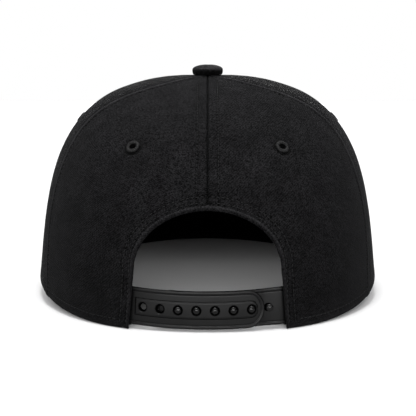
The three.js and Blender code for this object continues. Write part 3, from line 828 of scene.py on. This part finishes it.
def peak_threads():
    parts = []
    outline = peak_edge(np.linspace(1, -1, 900))
    ahead = np.gradient(outline, axis=0)
    inward = np.stack([ahead[:, 1], -ahead[:, 0]], -1)
    inward /= np.linalg.norm(inward, axis=1, keepdims=True)
    if inward[450, 1] > 0:
        inward = -inward
    for row in PEAK_ROWS:
        line = outline + inward * row
        turn = np.arctan2(line[:, 0], -line[:, 1])
        clear = np.hypot(line[:, 0], line[:, 1]) > crown_radius(0.0, turn) + 1.5
        kept = clear & (np.abs(turn) > PEAK_ROOT) & (line[:, 1] > 30)
        if kept.sum() < 10:
            continue
        line = line[kept]
        for lift, up in ((PEAK_THICKNESS - 0.1, 1), (0.06, -1)):
            path = np.concatenate([line, (peak_underside(line[:, 0]) + lift)[:, None]], -1)
            parts += thread_rows(path, np.tile([0.0, 0.0, up], (len(path), 1)), pitch=3.0, length=2.4, width=0.5)
    return parts


build("peak_board", [peak_shell()], [peak_cloth], ["peak"], sharp=60)
build("stitches_peak", peak_threads(), [stitch_thread], sharp=80)

# Sweatband inside the hem


def sweatband():
    start = hem_angle(FOOT_LENGTH + BAND_OVERLAP)
    cover_end, clear_end = hem_angle(STRAP_END + 2), hem_angle(STRAP_END + 16)
    turn = np.linspace(start, 2 * math.pi - start, 331)
    turn = np.where(turn > math.pi, turn - 2 * math.pi, turn)
    rows = np.array([
        0, 0.25, 0.8, 1.6, 2.0, 2.4, 3.2, 5, 8, 11, 14, 17, 20, 23, 25.5, 26.6, 27, 27.4, 28.4, 29.4, 29.8, 30,
    ])
    angle, up = np.meshgrid(turn, rows)
    clear = WALL + CLOTH_GAP
    cover = clear + STRAP_THICKNESS + CLOTH_GAP
    depth = mix(cover, clear, smooth(np.abs(angle), cover_end, clear_end))
    run = np.interp(np.abs(angle), HEM_ANGLES, HEM_LENGTHS) * np.sign(angle)
    drape = (up / BAND_HEIGHT) ** 2 * (0.5 + 0.35 * np.sin(run / 13) + 0.2 * np.sin(run / 7.3 + 1))
    channel = 0.15 * bell(up, 2.0, 0.5) + 0.12 * bell(up, 27, 0.5)
    edge = 0.35 * (bell(up, 0, 0.3) + bell(up, BAND_HEIGHT, 0.3))
    height = hem_height(angle) + BAND_SETBACK + up
    place = place_of_height(angle, height)
    outer = crown_at(place, angle, -depth - drape - edge)
    inner = crown_at(place, angle, -depth - drape - BAND_THICKNESS + channel + edge)
    outer[..., 2] = inner[..., 2] = height
    points, faces = shell(outer, inner)
    length = np.where(run < 0, run + 2 * HEM_LENGTHS[-1], run)
    uv = np.stack([length, up], -1).reshape(-1, 2)
    part = {"points": points, "faces": faces, "uv": np.concatenate([uv, uv])}
    threads = []
    for row in (2.0, 27.0):
        level = hem_height(turn) + BAND_SETBACK + row
        spot = place_of_height(turn, level)
        number = int(np.argmin(np.abs(rows - row)))
        normal = crown_normal(spot, turn)
        threads += thread_rows(inner[number] + 0.05 * normal, -normal, pitch=2.8, length=2.2)
    return part, threads


band_part, band_threads = sweatband()
build("sweatband_tape", [band_part], [band_cloth], ["sweatband"], sharp=60)
build("stitches_sweatband", band_threads, [stitch_thread], sharp=80)

# Snap straps, drawn flat and bent round the back

# The raised field round the holes, and the moulded lines inside a strap's edge and outside the field
STADIUM_START, STADIUM_ROUND, STADIUM_END, STADIUM_HALF = -34.6, 20.6, 2.9, 3.6
STRAP_LINE, FIELD_LINE = 1.85, 0.2
HOLES = [MIDDLE_HOLE + step * HOLE_PITCH for step in range(-4, 3)]
STUDS = [MIDDLE_HOLE + step * HOLE_PITCH for step in range(-2, 4)]


def strap_face(edge):
    """Height of a strap's outer face over its plain thickness: a round bead along the edge, then a fine groove."""
    bead = 0.42 * np.sqrt(np.clip(1 - ((edge - 0.85) / 0.62) ** 2, 0, 1))
    corner = 0.3 * (1 - smooth(edge, 0, 0.24))
    return bead - corner - 0.05 * bell(edge, STRAP_LINE, 0.16)


def edge_gap(along, y, tip):
    """Distance from the strap's edge, also round its tip."""
    half, shoulder = STRAP_HEIGHT / 2, tip - STRAP_ROUND
    level = np.hypot(np.maximum(0, along - shoulder) / STRAP_ROUND, y / half)
    round_gap = (1 - level) * mix(half, STRAP_ROUND, smooth(along, shoulder, tip))
    return np.where(along > shoulder, round_gap, half - np.abs(y))


def field_gap(along, y):
    """Distance outside the raised field that holds the holes, negative in it."""
    round_end = np.hypot(np.maximum(0, along - STADIUM_ROUND) * STADIUM_HALF / STADIUM_END, y) - STADIUM_HALF
    return np.maximum(np.where(along > STADIUM_ROUND, round_end, np.abs(y) - STADIUM_HALF), STADIUM_START - along)


def strap_grid(start, tip, raised):
    """A flat strap from its sewn end to its rounded tip, as a closed body."""
    half = STRAP_HEIGHT / 2
    shoulder = tip - STRAP_ROUND
    lengths = np.arange(start, shoulder, 0.36)
    turns = np.radians(np.linspace(0, 89, 34))
    s = np.concatenate([lengths, shoulder + STRAP_ROUND * np.sin(turns)])
    reach = half * np.concatenate([np.ones(len(lengths)), np.cos(turns)])
    edge_rows = np.array([0, 0.1, 0.2, 0.34, 0.5, 0.66, 0.82, 1.0, 1.16, 1.3, 1.42, 1.54, 1.66, 1.8, 1.95, 2.1])
    inside = np.linspace(2.1, STRAP_HEIGHT - 2.1, 48)[1:-1]
    t = (np.concatenate([edge_rows, inside, STRAP_HEIGHT - edge_rows[::-1]]) - half) / half
    across, along = np.meshgrid(t, s)
    y = across * reach[:, None]
    edge = edge_gap(along, y, tip)
    top = STRAP_THICKNESS + strap_face(edge)
    if raised:
        inner = field_gap(along, y)
        top = top + 0.24 * (1 - smooth(inner, -0.3, 0.05)) - 0.03 * bell(inner, FIELD_LINE, 0.2)
    outer = np.stack([along, y, top], -1)
    back = np.stack([along, y, 0.12 * (1 - smooth(edge, 0, 0.3))], -1)
    outer, back = outer.transpose(1, 0, 2), back.transpose(1, 0, 2)
    return shell(outer, back)


def lathe(profile, sides, place):
    """A closed body turned about the line across the strap at a place."""
    turns = np.linspace(0, 2 * math.pi, sides + 1)[:-1]
    rings = [np.stack([place + r * np.cos(turns), r * np.sin(turns), np.full(sides, z)], -1) for r, z in profile]
    grid = np.stack(rings)
    rows = len(profile)
    faces = face_grid(rows, sides, wrap_columns=True).tolist()
    faces.append(list(range(sides))[::-1])
    faces.append([(rows - 1) * sides + column for column in range(sides)])
    return grid.reshape(-1, 3), faces


def plain_object(points, faces):
    mesh = bpy.data.meshes.new("cut")
    mesh.from_pydata(np.asarray(points).tolist(), [], [list(map(int, face)) for face in faces])
    made = bpy.data.objects.new("cut", mesh)
    bpy.context.scene.collection.objects.link(made)
    return made


def with_holes(points, faces):
    """The strap with its holes cut out, each with a narrow throat at the back and a small chamfer in front."""
    body = plain_object(points, faces)
    profile = [
        (HOLE_THROAT, -1), (HOLE_THROAT, 0.5), (HOLE_RADIUS - 0.2, 0.62), (HOLE_RADIUS, 0.8), (HOLE_RADIUS, 1.42),
        (HOLE_RADIUS + 0.12, 1.62), (HOLE_RADIUS + 0.42, 1.9), (HOLE_RADIUS + 0.6, 2.6),
    ]
    cuts = []
    for place in HOLES:
        cut = plain_object(*lathe(profile, 40, place))
        knife = body.modifiers.new("hole", "BOOLEAN")
        knife.operation, knife.solver, knife.object = "DIFFERENCE", "EXACT", cut
        cuts.append(cut)
    bpy.context.view_layer.update()
    mesh = body.evaluated_get(bpy.context.evaluated_depsgraph_get()).to_mesh()
    count = len(mesh.vertices)
    flat = np.zeros(count * 3)
    mesh.vertices.foreach_get("co", flat)
    kept = [list(polygon.vertices) for polygon in mesh.polygons]
    for made in [body, *cuts]:
        data = made.data
        bpy.data.objects.remove(made)
        bpy.data.meshes.remove(data)
    return flat.reshape(-1, 3), kept


def painted_shade_faces(points, faces, number, tip, holes=()):
    """The faces' materials: a number, for painted shade, on the hole walls, cut edges and lines of the mould, 0 for
    all others.
    """
    middles = np.array([points[list(face)].mean(axis=0) for face in faces])
    x, y, z = middles.T
    edge = edge_gap(x, y, tip)
    in_painted_shade = (edge < 0.06) & (z < STRAP_THICKNESS)
    front = z > STRAP_THICKNESS / 2
    in_painted_shade |= (edge > STRAP_LINE - 0.05) & (edge < STRAP_LINE + 0.1) & front
    for place in holes:
        in_painted_shade |= (np.hypot(x - place, y) < HOLE_RADIUS + 0.05) & (z < 1.5)
    if holes:
        in_painted_shade |= (np.abs(field_gap(x, y) - FIELD_LINE) < 0.14) & front
    return (in_painted_shade * number).tolist()


def bent(points, depth_of, sign):
    """Bends a flat strap: its length runs along the hem, its width up the wall and its height outwards."""
    length = sign * points[:, 0]
    angle = hem_angle(length)
    rise = STRAP_SAG * (length / FOOT_LENGTH) ** 2
    place = place_of_height(angle, STRAP_BOTTOM + rise + STRAP_HEIGHT / 2 + points[:, 1])
    return crown_at(place, angle, -(depth_of(length) + STRAP_THICKNESS - points[:, 2]))


def under_depth(length):
    return mix(UNDER_DEPTH, STRAP_DEPTH, smooth(length, OVER_TIP, FOOT_LENGTH)) + 0.9 * smooth(-length, 15, 24)


strap_points, strap_faces = with_holes(*strap_grid(-STRAP_END, OVER_TIP, True))
over_part = {
    "points": bent(strap_points, lambda length: STRAP_DEPTH + 0 * length, 1), "faces": strap_faces,
    "picks": painted_shade_faces(strap_points, strap_faces, 1, OVER_TIP, HOLES),
}
build("snap_strap_holes", [over_part], [strap_plastic, painted_shade_plastic], ["strap_with_holes"], sharp=38)

under_parts = []
strap_points, strap_faces = strap_grid(-STRAP_END, -UNDER_TIP, False)
under_parts.append({
    "points": bent(strap_points, under_depth, -1), "faces": [list(face)[::-1] for face in strap_faces],
    "picks": painted_shade_faces(strap_points, strap_faces, 2, -UNDER_TIP),
})
stud_top = 2 * STRAP_THICKNESS + SEAT_GAP + STUD_PROUD
stud_profile = [
    (STUD_COLLAR, STRAP_THICKNESS - 0.4), (STUD_COLLAR, STRAP_THICKNESS + 0.1), (STUD_NECK, STRAP_THICKNESS + 0.16),
    (STUD_NECK, stud_top - 1.7), (STUD_HEAD - 0.05, stud_top - 1.5),
]
stud_profile += [
    (STUD_HEAD * math.cos(turn), stud_top - STUD_DOME + STUD_DOME * math.sin(turn))
    for turn in np.radians(np.linspace(0, 86, 9))
]
# Each stud's collar is in the painted shade plastic, a painted dark ring round its foot.
for stud_place in STUDS:
    stud_points, stud_faces = lathe(stud_profile, STUD_SIDES, -stud_place)
    under_parts.append({
        "points": bent(stud_points, under_depth, -1), "faces": [face[::-1] for face in stud_faces],
        "picks": [2 if min(face) < 3 * STUD_SIDES else 1 for face in stud_faces],
    })
strap_materials = [strap_plastic, stud_plastic, painted_shade_plastic]
build("snap_strap_studs", under_parts, strap_materials, ["strap_with_studs"], sharp=38)

# Floor, light and camera

FLOOR_REACH = 1.8
floor_mesh = bpy.data.meshes.new("floor")
floor_mesh.from_pydata(
    [(x * FLOOR_REACH, y * FLOOR_REACH, -0.0002) for x, y in ((-1, -1), (1, -1), (1, 1), (-1, 1))], [], [(0, 1, 2, 3)]
)
floor = bpy.data.objects.new("floor", floor_mesh)
bpy.context.scene.collection.objects.link(floor)
floor_paint, floor_tree, floor_shader = paint("pale_floor")
floor_place = node(floor_tree, "ShaderNodeTexCoord").outputs["Object"]
floor_noise = node(floor_tree, "ShaderNodeTexNoise", i0=floor_place, i2=3.0, i3=3.0).outputs[0]
floor_tree.links.new(
    blend_colours(floor_tree, floor_noise, (0.47, 0.47, 0.475), (0.5, 0.5, 0.5)), floor_shader.inputs["Base Color"]
)
floor_shader.inputs["Roughness"].default_value = 0.9
floor_shader.inputs["Specular IOR Level"].default_value = 0.1
floor_shader.inputs["Emission Color"].default_value = (1, 0.99, 0.985, 1)
floor_shader.inputs["Emission Strength"].default_value = 0.006
floor_mesh.materials.append(floor_paint)

world = bpy.data.worlds.new("studio")
world.use_nodes = True
sky = world.node_tree
sky.nodes["Background"].inputs[0].default_value = (1.0, 1.0, 1.0, 1)
sky_point = node(sky, "ShaderNodeTexCoord").outputs["Generated"]
sky_rise = node(sky, "ShaderNodeSeparateXYZ", i0=sky_point).outputs[2]
low_sky = map_range(sky, sky_rise, 0.07, 0.12, 1.0, 0.05)
high_sky = map_range(sky, sky_rise, 0.45, 0.75, 0.0, 1.7)
sky_total = node(sky, "ShaderNodeMath", operation="ADD", i0=low_sky, i1=high_sky).outputs[0]
sky.links.new(sky_total, sky.nodes["Background"].inputs[1])
bpy.context.scene.world = world


def softbox(name, place, aim, width, height, power):
    lamp = bpy.data.lights.new(name, "AREA")
    lamp.shape, lamp.size, lamp.size_y, lamp.energy = "RECTANGLE", width, height, power
    made = bpy.data.objects.new(name, lamp)
    bpy.context.scene.collection.objects.link(made)
    made.location = place
    made.rotation_mode = "QUATERNION"
    made.rotation_quaternion = (Vector(aim) - Vector(place)).to_track_quat("-Z", "Y")


softbox("key", (-0.05, -0.12, 1.5), (0, 0, 0.05), 0.45, 0.4, 18)
softbox("back", (0.05, 2.2, 0.8), (0, 0, 0.06), 2.4, 0.5, 45)
softbox("front", (-0.05, -2.2, 0.68), (0, 0, 0.03), 3.0, 0.26, 98)

CAMERA_DISTANCE = 0.55327
CAMERA_HEIGHT = 0.12795
LOOK_DOWN = math.radians(8.89)
IMAGE_SIDE = 416
camera_data = bpy.data.cameras.new("camera")
camera = bpy.data.objects.new("camera", camera_data)
bpy.context.scene.collection.objects.link(camera)
camera.location = (0, SHIFT / 1000 - CAMERA_DISTANCE, CAMERA_HEIGHT)
camera.rotation_euler = (math.pi / 2 - LOOK_DOWN, 0, 0)
camera_data.lens, camera_data.sensor_width = 90, 36
camera_data.shift_x = 0.4 / IMAGE_SIDE
camera_data.shift_y = -0.5 / IMAGE_SIDE
bpy.context.scene.camera = camera
bpy.context.scene.view_settings.view_transform = "Standard"
